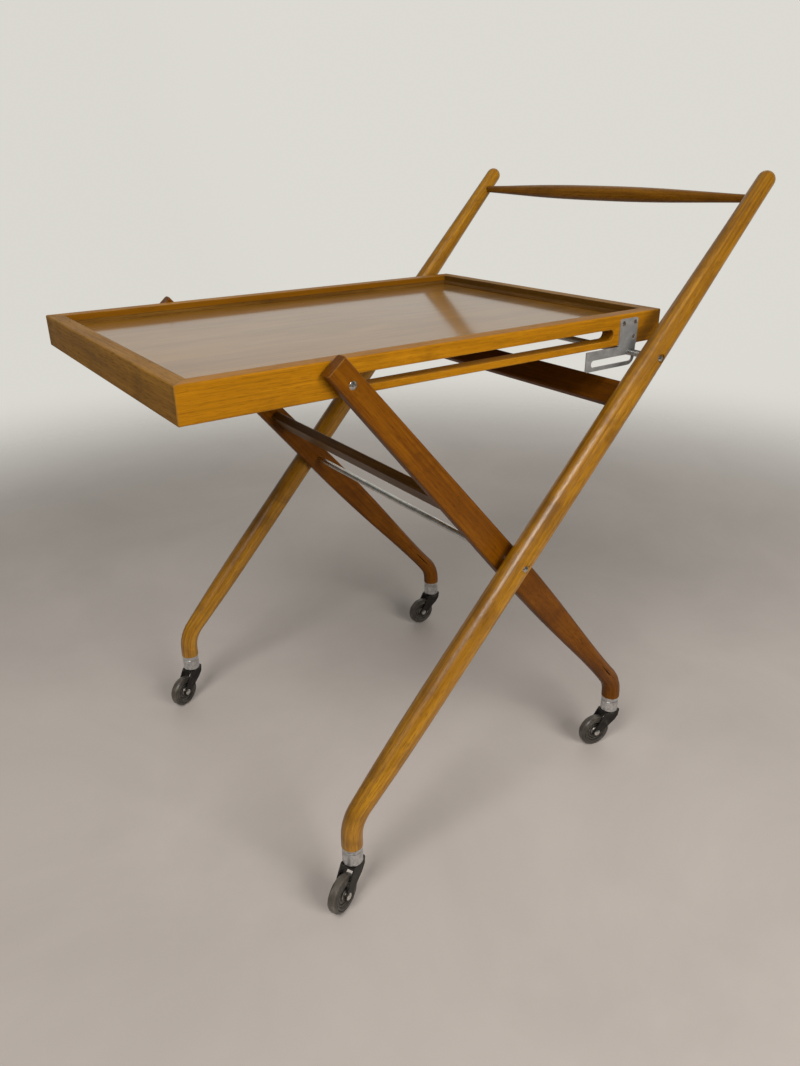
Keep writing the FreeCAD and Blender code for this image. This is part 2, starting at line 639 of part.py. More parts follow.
def makeCaster(label, x, y):
    base = Vec(x, y, 0)
    cup = Part.makeCylinder(ferruleRadius, ferruleHeight, Vec(x, y, ferruleBottom))
    lowerEdges = [e for e in cup.Edges if abs(e.CenterOfMass.z - ferruleBottom) < 0.1]
    cup = cup.makeFillet(ferruleEdgeRound, lowerEdges)
    floorPoint = Vec(x, y, ferruleBottom + ferruleFloor)
    hollow = Part.makeCylinder(ferruleRadius - ferruleWall, ferruleHeight, floorPoint)
    hole = Part.makeCylinder(stemRadius + stemGap, ferruleHeight, Vec(x, y, ferruleBottom - 1))
    parts["ferrule_" + label] = cup.cut(hollow).cut(hole)

    topLevel = ferruleBottom - forkTopGap
    half = forkWidth / 2.0
    top = block(x - forkTopRear, x + forkTopFront, y - half, y + half, topLevel - forkTopSheet, topLevel)
    uprightEdges = [e for e in top.Edges if abs(e.Vertexes[0].Z - e.Vertexes[1].Z) > 1]
    top = top.makeFillet(forkCornerRound, uprightEdges)
    axleX = x - casterTrail
    outline = [
        Vec(x + forkTopFront - forkMouthInset, 0, topLevel - 1.0),
        Vec(x + forkTopFront - forkShoulderInset, 0, topLevel - forkShoulderDepth),
        Vec(x + forkTopFront - forkWaistInset, 0, topLevel - forkWaistDepth),
        Vec(axleX + forkEyeRadius, 0, wheelHeight - 1.0),
        Vec(axleX - forkEyeRadius, 0, wheelHeight + 1.0),
        Vec(x - forkTopRear + forkRearInset, 0, topLevel - 1.0),
    ]
    cheeks = []
    for edge in (-1, 1):
        start = y + edge * (half - forkSheet)
        flat = [Vec(p.x, start, p.z) for p in outline]
        cheek = Part.Face(Part.makePolygon(flat + [flat[0]])).extrude(Vec(0, edge * forkSheet, 0))
        eye = yRod(forkEyeRadius, axleX, wheelHeight, start, start + edge * forkSheet)
        cheeks.append(cheek.fuse(eye))
    stem = Part.makeCylinder(stemRadius, stemHeight + forkTopGap, Vec(x, y, topLevel - 0.5))
    collar = Part.makeCylinder(stemRadius + stemCollar, forkTopGap - stemCollarGap, Vec(x, y, topLevel))
    fork = top.fuse(cheeks + [stem, collar])
    fork = fork.cut(yRod(axleRadius, axleX, wheelHeight, y - half - 1, y + half + 1))
    parts["caster_fork_" + label] = fork.removeSplitter()

    axle = yRod(axleRadius, axleX, wheelHeight, y - half, y + half)
    for edge in (-1, 1):
        head = screwHead(axleX, wheelHeight, y + edge * half, edge, axleHeadRadius, axleHeadRise)
        axle = axle.fuse(head)
    parts["caster_axle_" + label] = axle

    h = hubWidth / 2.0
    boss = hubBossWidth / 2.0
    bore = axleRadius + axleGap
    hub = lathe([
        (-boss, bore), (-boss, hubBossRadius), (-h, hubBossRadius + 1.0),
        (-h + hubDish, hubRadius - 2.0), (-h, hubRadius),
        (h, hubRadius), (h - hubDish, hubRadius - 2.0),
        (h, hubBossRadius + 1.0), (boss, hubBossRadius), (boss, bore),
    ], Vec(axleX, y, wheelHeight), Vec(0, 1, 0))
    parts["wheel_hub_" + label] = hub
    w = tyreWidth / 2.0
    groove = hubRadius + ringGroove
    tyre = lathe([
        (-h, hubRadius), (-w + 1.2, hubRadius + 0.8), (-w, hubRadius + 1.8), (-w, groove),
        (-w + ringGrooveDepth, groove + ringGrooveWidth / 2.0), (-w, groove + ringGrooveWidth),
        (-w, wheelRadius - tyreShoulder), (-w + 1.0, wheelRadius - tyreEdge),
        (-w + tyreShoulder, wheelRadius), (w - tyreShoulder, wheelRadius),
        (w - 1.0, wheelRadius - tyreEdge), (w, wheelRadius - tyreShoulder),
        (w, groove + ringGrooveWidth), (w - ringGrooveDepth, groove + ringGrooveWidth / 2.0), (w, groove),
        (w, hubRadius + 1.8), (w - 1.2, hubRadius + 0.8),
        (h, hubRadius),
    ], Vec(axleX, y, wheelHeight), Vec(0, 1, 0))
    parts["tyre_" + label] = tyre
    for piece in ("caster_fork_", "caster_axle_", "wheel_hub_", "tyre_"):
        parts[piece + label].rotate(Vec(x, y, 0), Vec(0, 0, 1), casterHeading[label])


for name, sign in sides.items():
    makeCaster("front_" + name, crossingX - footReachPole, sign * poleSide)
    makeCaster("rear_" + name, crossingX + footReachLeg, sign * footSideLeg)

os.makedirs("parts", exist_ok=True)
for name, shape in parts.items():
    shape.exportStep("parts/" + name + ".step")
print(len(parts), "parts written")
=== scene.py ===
import json
import math

import bmesh
import bpy
from mathutils import Matrix, Vector


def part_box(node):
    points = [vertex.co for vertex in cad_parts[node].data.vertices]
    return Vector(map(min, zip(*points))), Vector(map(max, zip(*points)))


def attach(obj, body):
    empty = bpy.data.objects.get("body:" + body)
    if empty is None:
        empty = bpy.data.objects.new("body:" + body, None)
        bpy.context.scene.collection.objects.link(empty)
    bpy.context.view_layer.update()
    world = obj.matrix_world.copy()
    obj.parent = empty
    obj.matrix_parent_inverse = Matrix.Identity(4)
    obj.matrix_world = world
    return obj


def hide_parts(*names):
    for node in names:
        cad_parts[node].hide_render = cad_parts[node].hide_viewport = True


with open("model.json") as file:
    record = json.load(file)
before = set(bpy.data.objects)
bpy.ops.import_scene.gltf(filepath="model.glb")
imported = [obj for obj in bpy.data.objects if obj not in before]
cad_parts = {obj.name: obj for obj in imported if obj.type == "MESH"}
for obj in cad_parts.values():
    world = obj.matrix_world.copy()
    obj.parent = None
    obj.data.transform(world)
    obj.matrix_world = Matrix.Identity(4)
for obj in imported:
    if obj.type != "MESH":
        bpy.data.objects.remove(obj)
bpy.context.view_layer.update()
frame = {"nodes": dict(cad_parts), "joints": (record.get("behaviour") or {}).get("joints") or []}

nodes = frame["nodes"]
joints = {joint["name"]: joint for joint in frame["joints"]}
quarter = math.pi / 2
mmPerMetre = 1000
print("frame loaded,", len(nodes), "nodes")


# camera: standing at the front left corner of the cart, looking down onto the tray
cameraView = {"place": (-0.6132, -0.8882, 0.8196), "heading": 55.39, "tiltDown": 24.6, "roll": -0.61,
              "lens": 37.03, "sensor": 36, "near": 0.02, "far": 50}


def makeCamera(settings):
    yaw = math.radians(settings["heading"])
    pitch = math.radians(settings["tiltDown"])
    roll = math.radians(settings["roll"])
    forward = Vector((math.cos(yaw) * math.cos(pitch), math.sin(yaw) * math.cos(pitch), -math.sin(pitch)))
    level = Vector((math.sin(yaw), -math.cos(yaw), 0))
    above = level.cross(forward)
    right = level * math.cos(roll) + above * math.sin(roll)
    up = above * math.cos(roll) - level * math.sin(roll)
    data = bpy.data.cameras.new("cartCamera")
    data.sensor_fit = "HORIZONTAL"
    data.sensor_width = settings["sensor"]
    data.lens = settings["lens"]
    data.clip_start = settings["near"]
    data.clip_end = settings["far"]
    camera = bpy.data.objects.new("cartCamera", data)
    bpy.context.scene.collection.objects.link(camera)
    turn = Matrix((right, up, -forward)).transposed().to_4x4()
    camera.matrix_world = Matrix.Translation(settings["place"]) @ turn
    bpy.context.scene.camera = camera


makeCamera(cameraView)
print("camera placed")


# node helpers for the finishes
black = (0, 0, 0)
white = (1, 1, 1)
unturned = (0, 0, 0)


def newFinish(name):
    finish = bpy.data.materials.new(name)
    finish.use_nodes = True
    return finish, finish.node_tree, finish.node_tree.nodes["Principled BSDF"]


def feed(tree, socket, value):
    # a socket takes another node's output, a colour, a number or a direction
    if isinstance(value, bpy.types.NodeSocket):
        tree.links.new(value, socket)
    elif socket.type == "RGBA":
        socket.default_value = (*value, 1)
    else:
        socket.default_value = value


def feedAll(tree, node, values):
    for name, value in values.items():
        feed(tree, node.inputs[name], value)


def mathNode(tree, kind, *values, clamp=False):
    node = tree.nodes.new("ShaderNodeMath")
    node.operation = kind
    node.use_clamp = clamp
    for socket, value in zip(node.inputs, values):
        feed(tree, socket, value)
    return node.outputs[0]


def vectorNode(tree, kind, *values):
    node = tree.nodes.new("ShaderNodeVectorMath")
    node.operation = kind
    for socket, value in zip(node.inputs, values):
        feed(tree, socket, value)
    return node.outputs["Value" if kind in ("LENGTH", "DOT_PRODUCT") else "Vector"]


def rampNode(tree, source, stops):
    node = tree.nodes.new("ShaderNodeValToRGB")
    elements = node.color_ramp.elements
    while len(elements) < len(stops):
        elements.new(0.5)
    for element, (place, colour) in zip(elements, stops):
        element.position = place
        element.color = (*colour, 1)
    feed(tree, node.inputs["Fac"], source)
    return node.outputs["Color"]


def toneNode(tree, source, places, colours):
    return rampNode(tree, source, list(zip(places, colours)))


def mixNode(tree, amount, first, second):
    node = tree.nodes.new("ShaderNodeMix")
    node.data_type = "RGBA"
    feedAll(tree, node, {"Factor": amount, "A": first, "B": second})
    return node.outputs["Result"]


def tinted(tree, colour, mask, share, other):
    # the other colour lies over the first where the mask is, up to its share
    return mixNode(tree, mathNode(tree, "MULTIPLY", mask, share), colour, other)


def rangeNode(tree, source, kind, start, end, low=0.0, high=1.0):
    node = tree.nodes.new("ShaderNodeMapRange")
    node.interpolation_type = kind
    feedAll(tree, node, {"Value": source, "From Min": start, "From Max": end, "To Min": low, "To Max": high})
    return node.outputs["Result"]


def noiseNode(tree, vector, scale, detail=3.0, roughness=0.5, distortion=0.0):
    node = tree.nodes.new("ShaderNodeTexNoise")
    feedAll(tree, node, {"Vector": vector, "Scale": scale, "Detail": detail, "Roughness": roughness,
                         "Distortion": distortion})
    return node.outputs["Fac"]


def coordinates(tree, kind="Object"):
    return tree.nodes.new("ShaderNodeTexCoord").outputs[kind]


def mappedVector(tree, vector, stretch, shift):
    node = tree.nodes.new("ShaderNodeMapping")
    feedAll(tree, node, {"Vector": vector, "Location": shift, "Scale": stretch})
    return node.outputs["Vector"]


def placedVector(tree, turn=unturned, stretch=(1, 1, 1), shift=(0, 0, 0)):
    node = tree.nodes.new("ShaderNodeVectorRotate")
    node.rotation_type = "EULER_XYZ"
    feedAll(tree, node, {"Vector": coordinates(tree), "Rotation": turn})
    return mappedVector(tree, node.outputs["Vector"], stretch, shift)


def alongBend(tree, bend, stretch, shift):
    # x follows the limb down its slope, round the bend and down to the ferrule; z is across it
    apart = tree.nodes.new("ShaderNodeSeparateXYZ")
    feed(tree, apart.inputs[0], coordinates(tree))
    side = mathNode(tree, "MULTIPLY", mathNode(tree, "SUBTRACT", apart.outputs["X"], bend["x"]), bend["hand"])
    rise = mathNode(tree, "SUBTRACT", apart.outputs["Z"], bend["z"])
    # the angle is measured from the vertical run, 0 there and growing up to the slope
    angle = mathNode(tree, "ARCTAN2", rise, mathNode(tree, "MULTIPLY", side, -1.0))
    angle = mathNode(tree, "MAXIMUM", mathNode(tree, "MINIMUM", angle, bend["turn"]), 0.0)
    cosine = mathNode(tree, "COSINE", angle)
    sine = mathNode(tree, "SINE", angle)
    along = mathNode(tree, "ADD", mathNode(tree, "MULTIPLY", side, sine),
                     mathNode(tree, "MULTIPLY", rise, cosine))
    along = mathNode(tree, "MULTIPLY_ADD", angle, bend["radius"], along)
    across = mathNode(tree, "SUBTRACT", mathNode(tree, "MULTIPLY", rise, sine),
                      mathNode(tree, "MULTIPLY", side, cosine))
    together = tree.nodes.new("ShaderNodeCombineXYZ")
    feedAll(tree, together, {"X": along, "Y": apart.outputs["Y"], "Z": across})
    return mappedVector(tree, together.outputs[0], stretch, shift)


def bumpNode(tree, height, strength, distance, normal=None):
    node = tree.nodes.new("ShaderNodeBump")
    feedAll(tree, node, {"Height": height, "Strength": strength, "Distance": distance})
    if normal is not None:
        feed(tree, node.inputs["Normal"], normal)
    return node.outputs["Normal"]


def softNormal(tree, radius, samples):
    # the surface's direction as if its arrises were rounded
    node = tree.nodes.new("ShaderNodeBevel")
    node.samples = samples
    feed(tree, node.inputs["Radius"], radius)
    return node.outputs["Normal"]


edgeWear = {"samples": 6, "gain": 9.0}


def wornEdges(tree, radius):
    # 0 on flat faces, rising to 1 on arrises
    flat = tree.nodes.new("ShaderNodeNewGeometry").outputs["Normal"]
    facing = vectorNode(tree, "DOT_PRODUCT", softNormal(tree, radius, edgeWear["samples"]), flat)
    apart = mathNode(tree, "SUBTRACT", 1.0, facing)
    return mathNode(tree, "MULTIPLY", apart, edgeWear["gain"], clamp=True)


# lacquered wood: the grain runs along x once the piece's own direction has been turned onto it
# a pattern is its stretch in x, y and z, then the noise's detail, roughness and distortion
wood = {"rings": ((1.3, 26, 26), 4.0, 0.55, 0.5), "fibre": ((7, 380, 380), 5.0, 0.62, 0.0),
        "fleck": ((85, 1300, 1300), 2.0, 0.5, 0.0), "drift": ((3.0, 22, 22), 4.0, 0.6, 0.0),
        "smear": ((8, 34, 34), 4.0, 0.6, 0.0),
        "patch": ((55, 55, 55), 3.0, 0.6, 0.0), "dirt": ((13, 13, 21), 5.0, 0.62, 0.6),
        "ringWaves": 38.0, "fibreShare": 0.62, "driftShare": 0.45, "tonesAt": (0.36, 0.56, 0.78),
        "poresAt": (0.54, 0.68), "dirtAt": (0.50, 0.72),
        "innerShadeGain": 2.5, "innerShadeStart": -1.4, "innerShadeShare": 0.72,
        "edgeRadius": 0.0016, "rubGain": 1.6, "rubStart": -0.35, "softRadius": 0.0022, "softSamples": 4,
        "smearRough": 0.16, "poreRough": 0.08, "fibreBump": (0.10, 0.0004), "poreBump": (0.16, 0.0003)}
ochre = {"dark": (0.215, 0.088, 0.0022), "middle": (0.325, 0.130, 0.0026), "light": (0.43, 0.185, 0.006),
         "poreAndShade": (0.12, 0.043, 0.002), "edge": (0.60, 0.33, 0.09), "rings": 0.05, "pores": 0.40, "wear": 0.5,
         "grime": 0.40, "rough": 0.38, "shine": 0.12, "coat": 0.03, "coatRough": 0.2}
honey = {"dark": (0.150, 0.060, 0.0018), "middle": (0.285, 0.124, 0.0036), "light": (0.46, 0.228, 0.012),
         "poreAndShade": (0.075, 0.027, 0.0012), "rings": 0.06, "pores": 0.60, "wear": 0, "grime": 0.55,
         "rough": 0.27, "shine": 0.50, "coat": 0.14, "coatRough": 0.16}
# painted shade: a darker copy of the pole wood for the handle bar, which is in shade
shadedSpindle = dict(honey, dark=(0.100, 0.036, 0.001), middle=(0.180, 0.068, 0.002), light=(0.275, 0.115, 0.005),
               shine=0.22)
# painted shade, partly: the legs' own redder brown, darkened further for the shade on the legs and the cross
# board
chestnutWithShade = {"dark": (0.070, 0.021, 0.0008), "middle": (0.130, 0.040, 0.0010), "light": (0.205, 0.071, 0.002),
            "poreAndShade": (0.040, 0.011, 0.0006), "edge": (0.46, 0.25, 0.08), "rings": 0.06, "pores": 0.60,
            "wear": 0.8, "grime": 0.45, "rough": 0.32, "shine": 0.12, "coat": 0.06, "coatRough": 0.2}
walnut = {"dark": (0.060, 0.024, 0.003), "middle": (0.110, 0.047, 0.006), "light": (0.170, 0.080, 0.012),
          "poreAndShade": (0.030, 0.011, 0.0015), "edge": (0.42, 0.25, 0.11), "rings": 0.08, "pores": 0.45,
          "wear": 0.7, "grime": 0.35, "rough": 0.34, "shine": 0.12, "coat": 0.05, "coatRough": 0.16}
# painted shade: a darker brown copy of the rail wood for the front and rear rails, which stand in less light
# than the side rails
shadedRimBrown = dict(walnut, dark=(0.165, 0.070, 0.004), middle=(0.250, 0.112, 0.009), light=(0.345, 0.168, 0.018),
                rough=0.42, shine=0.16, coat=0.0)


def woodFinish(name, tone, run, shift, innerShadeFacing=None):
    # run is the turn that brings the grain onto x, or the bend that the grain follows
    finish, tree, shader = newFinish(name)

    def pattern(kind):
        stretch, detail, roughness, distortion = wood[kind]
        if kind in ("patch", "dirt"):  # these two don't follow the grain
            vector = placedVector(tree, unturned, stretch, shift)
        elif isinstance(run, dict):
            vector = alongBend(tree, run, stretch, shift)
        else:
            vector = placedVector(tree, run, stretch, shift)
        return noiseNode(tree, vector, 1.0, detail, roughness, distortion)

    waves = mathNode(tree, "SINE", mathNode(tree, "MULTIPLY", pattern("rings"), wood["ringWaves"]))
    ripple = mathNode(tree, "MULTIPLY_ADD", waves, 0.5, 0.5)
    fibre = pattern("fibre")
    blend = mathNode(tree, "MULTIPLY", ripple, tone["rings"])
    blend = mathNode(tree, "MULTIPLY_ADD", fibre, wood["fibreShare"], blend)
    blend = mathNode(tree, "MULTIPLY_ADD", pattern("drift"), wood["driftShare"], blend)
    colour = toneNode(tree, blend, wood["tonesAt"], (tone["dark"], tone["middle"], tone["light"]))
    porous = toneNode(tree, pattern("fleck"), wood["poresAt"], (black, white))
    colour = tinted(tree, colour, porous, tone["pores"], tone["poreAndShade"])
    soiled = toneNode(tree, pattern("dirt"), wood["dirtAt"], (black, white))
    colour = tinted(tree, colour, soiled, tone["grime"], tone["poreAndShade"])
    if innerShadeFacing:
        # painted shade: the faces round the inside of the rim are darkened towards the pore colour
        facing = vectorNode(tree, "DOT_PRODUCT", coordinates(tree, "Normal"), innerShadeFacing)
        inside = mathNode(tree, "MULTIPLY_ADD", facing, wood["innerShadeGain"], wood["innerShadeStart"], clamp=True)
        colour = tinted(tree, colour, inside, wood["innerShadeShare"], tone["poreAndShade"])
    rounded = None
    if tone["wear"]:
        rubbing = mathNode(tree, "MULTIPLY_ADD", pattern("patch"), wood["rubGain"], wood["rubStart"])
        rubbed = mathNode(tree, "MULTIPLY", wornEdges(tree, wood["edgeRadius"]), rubbing, clamp=True)
        colour = tinted(tree, colour, rubbed, tone["wear"], tone["edge"])
        rounded = softNormal(tree, wood["softRadius"], wood["softSamples"])
    gloss = mathNode(tree, "MULTIPLY_ADD", pattern("smear"), wood["smearRough"], tone["rough"])
    grainBump = bumpNode(tree, fibre, *wood["fibreBump"], rounded)
    poreBump = bumpNode(tree, mathNode(tree, "SUBTRACT", 1.0, porous), *wood["poreBump"], grainBump)
    feedAll(tree, shader, {"Base Color": colour, "Specular IOR Level": tone["shine"], "Normal": poreBump,
                           "Roughness": mathNode(tree, "MULTIPLY_ADD", porous, wood["poreRough"], gloss),
                           "Coat Weight": tone["coat"], "Coat Roughness": tone["coatRough"]})
    return finish


# lacquered veneer of the tray: broad brown cloud with fine straight grain under a clear gloss
veneer = {"dark": (0.150, 0.064, 0.006), "middle": (0.235, 0.108, 0.010), "light": (0.310, 0.150, 0.016),
          "figure": (1.1, 16, 16), "fibre": (7, 520, 520), "cloud": (5, 9, 9), "lacquer": (26, 40, 40),
          "waves": 60.0, "figureShare": 0.55, "fibreShare": 0.38, "waveShare": 0.035,
          "tonesAt": (0.30, 0.50, 0.72), "cloudAt": (0.42, 0.75), "cloudShare": (0.4, 0.4, 0.4),
          "rough": 0.30, "cloudRough": 0.16, "shine": 0.1, "coat": 0.85, "coatRough": 0.10, "coatDepth": 1.5,
          "fibreBump": (0.05, 0.0003), "lacquerBump": (0.03, 0.0006), "coatBump": (0.02, 0.0006)}


def veneerFinish(name, tone, shift):
    finish, tree, shader = newFinish(name)

    def pattern(kind, *noise):
        return noiseNode(tree, placedVector(tree, unturned, tone[kind], shift), 1.0, *noise)

    figure = pattern("figure", 5.0, 0.55, 0.6)
    fibre = pattern("fibre", 5.0, 0.6)
    waves = mathNode(tree, "SINE", mathNode(tree, "MULTIPLY", figure, tone["waves"]))
    blend = mathNode(tree, "ADD", mathNode(tree, "MULTIPLY", figure, tone["figureShare"]),
                     mathNode(tree, "MULTIPLY", fibre, tone["fibreShare"]))
    blend = mathNode(tree, "MULTIPLY_ADD", waves, tone["waveShare"], blend)
    colour = toneNode(tree, blend, tone["tonesAt"], (tone["dark"], tone["middle"], tone["light"]))
    cloudy = pattern("cloud", 4.0, 0.6)
    clouded = toneNode(tree, cloudy, tone["cloudAt"], (black, tone["cloudShare"]))
    lacquer = pattern("lacquer", 2.0, 0.5)
    lacquered = bumpNode(tree, lacquer, *tone["lacquerBump"])
    rough = mathNode(tree, "MULTIPLY_ADD", cloudy, tone["cloudRough"], tone["rough"])
    feedAll(tree, shader, {"Base Color": mixNode(tree, clouded, colour, tone["dark"]),
                           "Roughness": rough,
                           "Specular IOR Level": tone["shine"], "Coat Weight": tone["coat"],
                           "Coat Roughness": tone["coatRough"], "Coat IOR": tone["coatDepth"],
                           "Normal": bumpNode(tree, fibre, *tone["fibreBump"], lacquered),
                           "Coat Normal": bumpNode(tree, lacquer, *tone["coatBump"])})
    return finish


# metals: what most of them share, then each one's own
plainMetal = {"speckScale": 900, "tonesAt": (0.32, 0.56, 0.78), "pitsAt": (0.30, 0.42), "pitDepth": 0.5,
              "pitRough": 0.2, "edgeRadius": 0.0006, "edgeWear": 0.6, "metallic": 1.0, "speckBump": 0.4,
              "bumpDepth": 0.0004}
zinc = dict(plainMetal, dull=(0.26, 0.265, 0.27), base=(0.34, 0.345, 0.35), bright=(0.55, 0.555, 0.56),
            pit=(0.12, 0.115, 0.11), rough=0.34, roughSpread=0.16, blotchScale=70, edgeRadius=0.0009,
            metallic=0.55, bump=0.06, pitDepth=0.3)
polished = dict(plainMetal, dull=(0.50, 0.50, 0.48), base=(0.70, 0.70, 0.67), bright=(0.88, 0.88, 0.85),
                pit=(0.20, 0.16, 0.12), rough=0.12, roughSpread=0.22, blotchScale=70, bump=0.05)
nickel = dict(plainMetal, dull=(0.32, 0.30, 0.275), base=(0.58, 0.555, 0.515), bright=(0.90, 0.88, 0.84),
              pit=(0.10, 0.08, 0.06), rough=0.16, roughSpread=0.2, blotchScale=300, bump=0.06)
galvanised = dict(plainMetal, dull=(0.46, 0.465, 0.47), base=(0.68, 0.685, 0.69),
                  bright=(0.88, 0.885, 0.89), pit=(0.20, 0.19, 0.18), rough=0.20, roughSpread=0.25,
                  pitDepth=0.3, blotchScale=210, bump=0.2)
blackened = dict(plainMetal, dull=(0.012, 0.011, 0.010), base=(0.032, 0.029, 0.026),
                 bright=(0.12, 0.115, 0.105), pit=(0.008, 0.006, 0.005), rough=0.32, roughSpread=0.3,
                 blotchScale=120, metallic=0.7, bump=0.25, edgeRadius=0.0008, edgeWear=0.5)


def metalFinish(name, tone):
    finish, tree, shader = newFinish(name)
    here = placedVector(tree)
    blotch = noiseNode(tree, here, tone["blotchScale"], 5.0, 0.62, 0.3)
    speck = noiseNode(tree, here, tone["speckScale"], 3.0, 0.6)
    colour = toneNode(tree, blotch, tone["tonesAt"], (tone["dull"], tone["base"], tone["bright"]))
    pits = toneNode(tree, speck, tone["pitsAt"], (white, black))
    colour = tinted(tree, colour, pits, tone["pitDepth"], tone["pit"])
    colour = tinted(tree, colour, wornEdges(tree, tone["edgeRadius"]), tone["edgeWear"], tone["bright"])
    rough = mathNode(tree, "MULTIPLY_ADD", blotch, tone["roughSpread"], tone["rough"])
    relief = mathNode(tree, "ADD", blotch, mathNode(tree, "MULTIPLY", speck, tone["speckBump"]))
    feedAll(tree, shader, {"Base Color": colour, "Metallic": tone["metallic"],
                           "Roughness": mathNode(tree, "MULTIPLY_ADD", pits, tone["pitRough"], rough),
                           "Normal": bumpNode(tree, relief, tone["bump"], tone["bumpDepth"])})
    return finish


# wheels: each ring is a radius and a half width in millimetres, then its strength; the lighter rings are
# painted ring highlights over raised rings
rubber = {"dark": (0.014, 0.012, 0.010), "middle": (0.034, 0.029, 0.024), "dustAndHighlight": (0.15, 0.13, 0.108),
          "rings": [(17.2, 0.5, 1.0), (20.8, 0.45, 0.9), (22.0, 0.35, 0.6)], "reach": 26.0,
          "scuffScale": 70, "dustScale": 420, "tonesAt": (0.34, 0.55, 0.78), "edgeRadius": 0.0008,
          "edgeShare": 0.35, "ringShare": 0.35, "treadFrom": 22.6, "treadGain": 0.9, "trodGain": 1.2,
          "trodStart": -0.2, "rough": 0.24, "roughSpread": 0.30, "shine": 0.55, "ringBump": (0.7, 0.0005),
          "dustBump": 0.5, "scuffBump": (0.22, 0.0004)}
disc = {"dull": (0.050, 0.045, 0.038), "base": (0.11, 0.10, 0.088), "bright": (0.46, 0.44, 0.40),
        "pit": (0.012, 0.010, 0.008), "rings": [(7.4, 0.5, 0.9), (10.6, 0.5, 0.7), (13.9, 0.5, 1.0)],
        "darkRings": [(8.6, 0.6, 1.0), (12.0, 0.8, 0.8), (14.8, 0.5, 1.0)], "reach": 16.0,
        "blotchScale": 180, "tonesAt": (0.34, 0.56, 0.78), "ringShare": 0.8, "darkRingShare": 0.85,
        "metallic": 0.85, "rough": 0.22, "roughSpread": 0.3, "ringBump": (0.8, 0.0006),
        "blotchBump": (0.12, 0.0004)}


def fromAxle(tree, wheel):
    # distance from the wheel's own axle, in millimetres
    offset = vectorNode(tree, "SUBTRACT", coordinates(tree), wheel["pos_m"])
    across = vectorNode(tree, "CROSS_PRODUCT", offset, wheel["axis"])
    return mathNode(tree, "MULTIPLY", vectorNode(tree, "LENGTH", across), mmPerMetre)


def bands(tree, distance, reach, rings):
    # each ring's strength on its radius, 0 between the rings
    stops = [(0.0, black)]
    for radius, half, strength in rings:
        stops += [((radius - half) / reach, black), (radius / reach, (strength,) * 3),
                  ((radius + half) / reach, black)]
    return rampNode(tree, mathNode(tree, "DIVIDE", distance, reach, clamp=True), stops)


def rubberFinish(name, tone, wheel):
    finish, tree, shader = newFinish(name)
    here = placedVector(tree)
    scuff = noiseNode(tree, here, tone["scuffScale"], 6.0, 0.65, 0.4)
    dust = noiseNode(tree, here, tone["dustScale"], 3.0, 0.6)
    distance = fromAxle(tree, wheel)
    colour = toneNode(tree, scuff, tone["tonesAt"], (tone["dark"], tone["middle"], tone["dustAndHighlight"]))
    # partly dust, partly painted highlight: the tyre's edges are lightened towards the dust colour as a rim
    # light
    colour = tinted(tree, colour, wornEdges(tree, tone["edgeRadius"]), tone["edgeShare"], tone["dustAndHighlight"])
    pastSide = mathNode(tree, "SUBTRACT", distance, tone["treadFrom"])
    tread = mathNode(tree, "MULTIPLY", pastSide, tone["treadGain"], clamp=True)
    trod = mathNode(tree, "MULTIPLY_ADD", scuff, tone["trodGain"], tone["trodStart"])
    colour = mixNode(tree, mathNode(tree, "MULTIPLY", tread, trod, clamp=True), colour, tone["dustAndHighlight"])
    # painted highlight: the raised rings are tinted towards the dust colour as ring highlights, and the bump
    # raises them too
    tyreRingsAndHighlights = bands(tree, distance, tone["reach"], tone["rings"])
    colour = tinted(tree, colour, tyreRingsAndHighlights, tone["ringShare"], tone["dustAndHighlight"])
    relief = mathNode(tree, "ADD", scuff, mathNode(tree, "MULTIPLY", dust, tone["dustBump"]))
    raised = bumpNode(tree, tyreRingsAndHighlights, *tone["ringBump"])
    rough = mathNode(tree, "MULTIPLY_ADD", scuff, tone["roughSpread"], tone["rough"])
    feedAll(tree, shader, {"Base Color": colour, "Specular IOR Level": tone["shine"], "Roughness": rough,
                           "Normal": bumpNode(tree, relief, *tone["scuffBump"], raised)})
    return finish


def hubFinish(name, tone, wheel):
    finish, tree, shader = newFinish(name)
    blotch = noiseNode(tree, placedVector(tree), tone["blotchScale"], 5.0, 0.62, 0.3)
    distance = fromAxle(tree, wheel)
    colour = toneNode(tree, blotch, tone["tonesAt"], (tone["dull"], tone["base"], tone["bright"]))
    # painted highlight: the raised rings are tinted towards the bright colour as ring highlights, and the bump
    # raises them too
    hubRingsAndHighlights = bands(tree, distance, tone["reach"], tone["rings"])
    colour = tinted(tree, colour, hubRingsAndHighlights, tone["ringShare"], tone["bright"])
    # darker rings just outside the light rings, tinted towards the pit colour
    darkRingMask = bands(tree, distance, tone["reach"], tone["darkRings"])
    colour = tinted(tree, colour, darkRingMask, tone["darkRingShare"], tone["pit"])
    raised = bumpNode(tree, hubRingsAndHighlights, *tone["ringBump"])
    rough = mathNode(tree, "MULTIPLY_ADD", blotch, tone["roughSpread"], tone["rough"])
    feedAll(tree, shader, {"Base Color": colour, "Metallic": tone["metallic"], "Roughness": rough,
                           "Normal": bumpNode(tree, blotch, *tone["blotchBump"], raised)})
    return finish


# how the wood lies: the slopes of the two pairs of legs in degrees, and the bend above each foot in metres
limbs = {"poleSlope": 47.5, "legSlope": 49.7, "footRadius": 0.013, "bendRadius": 0.055}


def bendOf(node, slope, hand):
    # centre, radius and turn of the bend above a foot, seen from the side
    # hand is 1 where the limb leans towards +X and -1 where it leans the other way
    low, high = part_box(node)
    crossing = joints["leg_fold"]["pos_m"]
    radius = limbs["bendRadius"]
    footX = low.x + limbs["footRadius"] if hand > 0 else high.x - limbs["footRadius"]
    corner = crossing[2] - abs(crossing[0] - footX) * math.tan(math.radians(slope))
    turn = quarter - math.radians(slope)
    return {"x": footX + hand * radius, "z": corner - radius * math.tan(turn / 2), "hand": hand, "turn": turn,
            "radius": radius}


